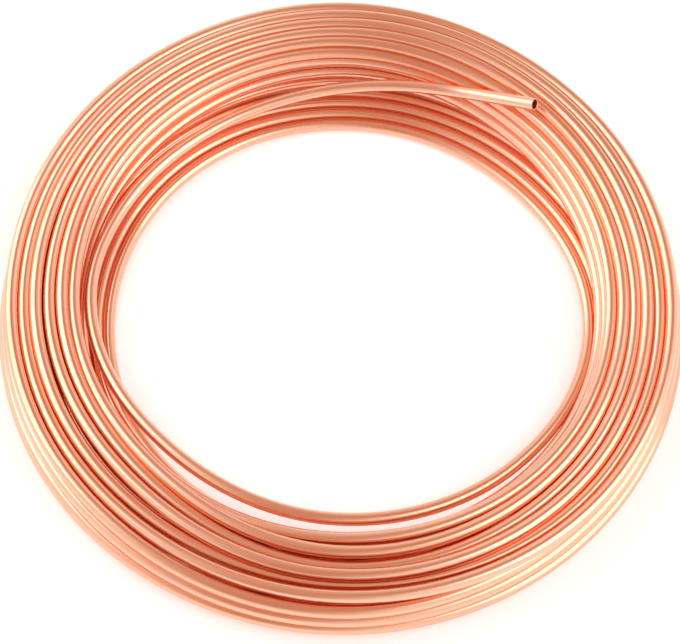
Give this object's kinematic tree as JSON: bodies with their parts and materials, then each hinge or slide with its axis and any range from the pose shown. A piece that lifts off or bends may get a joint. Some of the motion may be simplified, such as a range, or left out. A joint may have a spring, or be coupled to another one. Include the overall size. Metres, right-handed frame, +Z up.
{
  "type": "copper tube coil",
  "caption": "Soft copper tube wound clockwise into a flat round coil with an open eye, its cut end lifted clear of the top layer with the bore open.",
  "frame": {"origin": "centre of the coil's underside, on the floor that it lies on", "axes": "+Z up along the coil's axis; the lifted free end is towards +Y and points to +X"},
  "size_m": [0.34, 0.34, 0.0447],
  "materials": {
    "copper": "polished"
  },
  "bodies": {
    "root": {"tube_coil": "copper"}
  },
  "joints": []
}
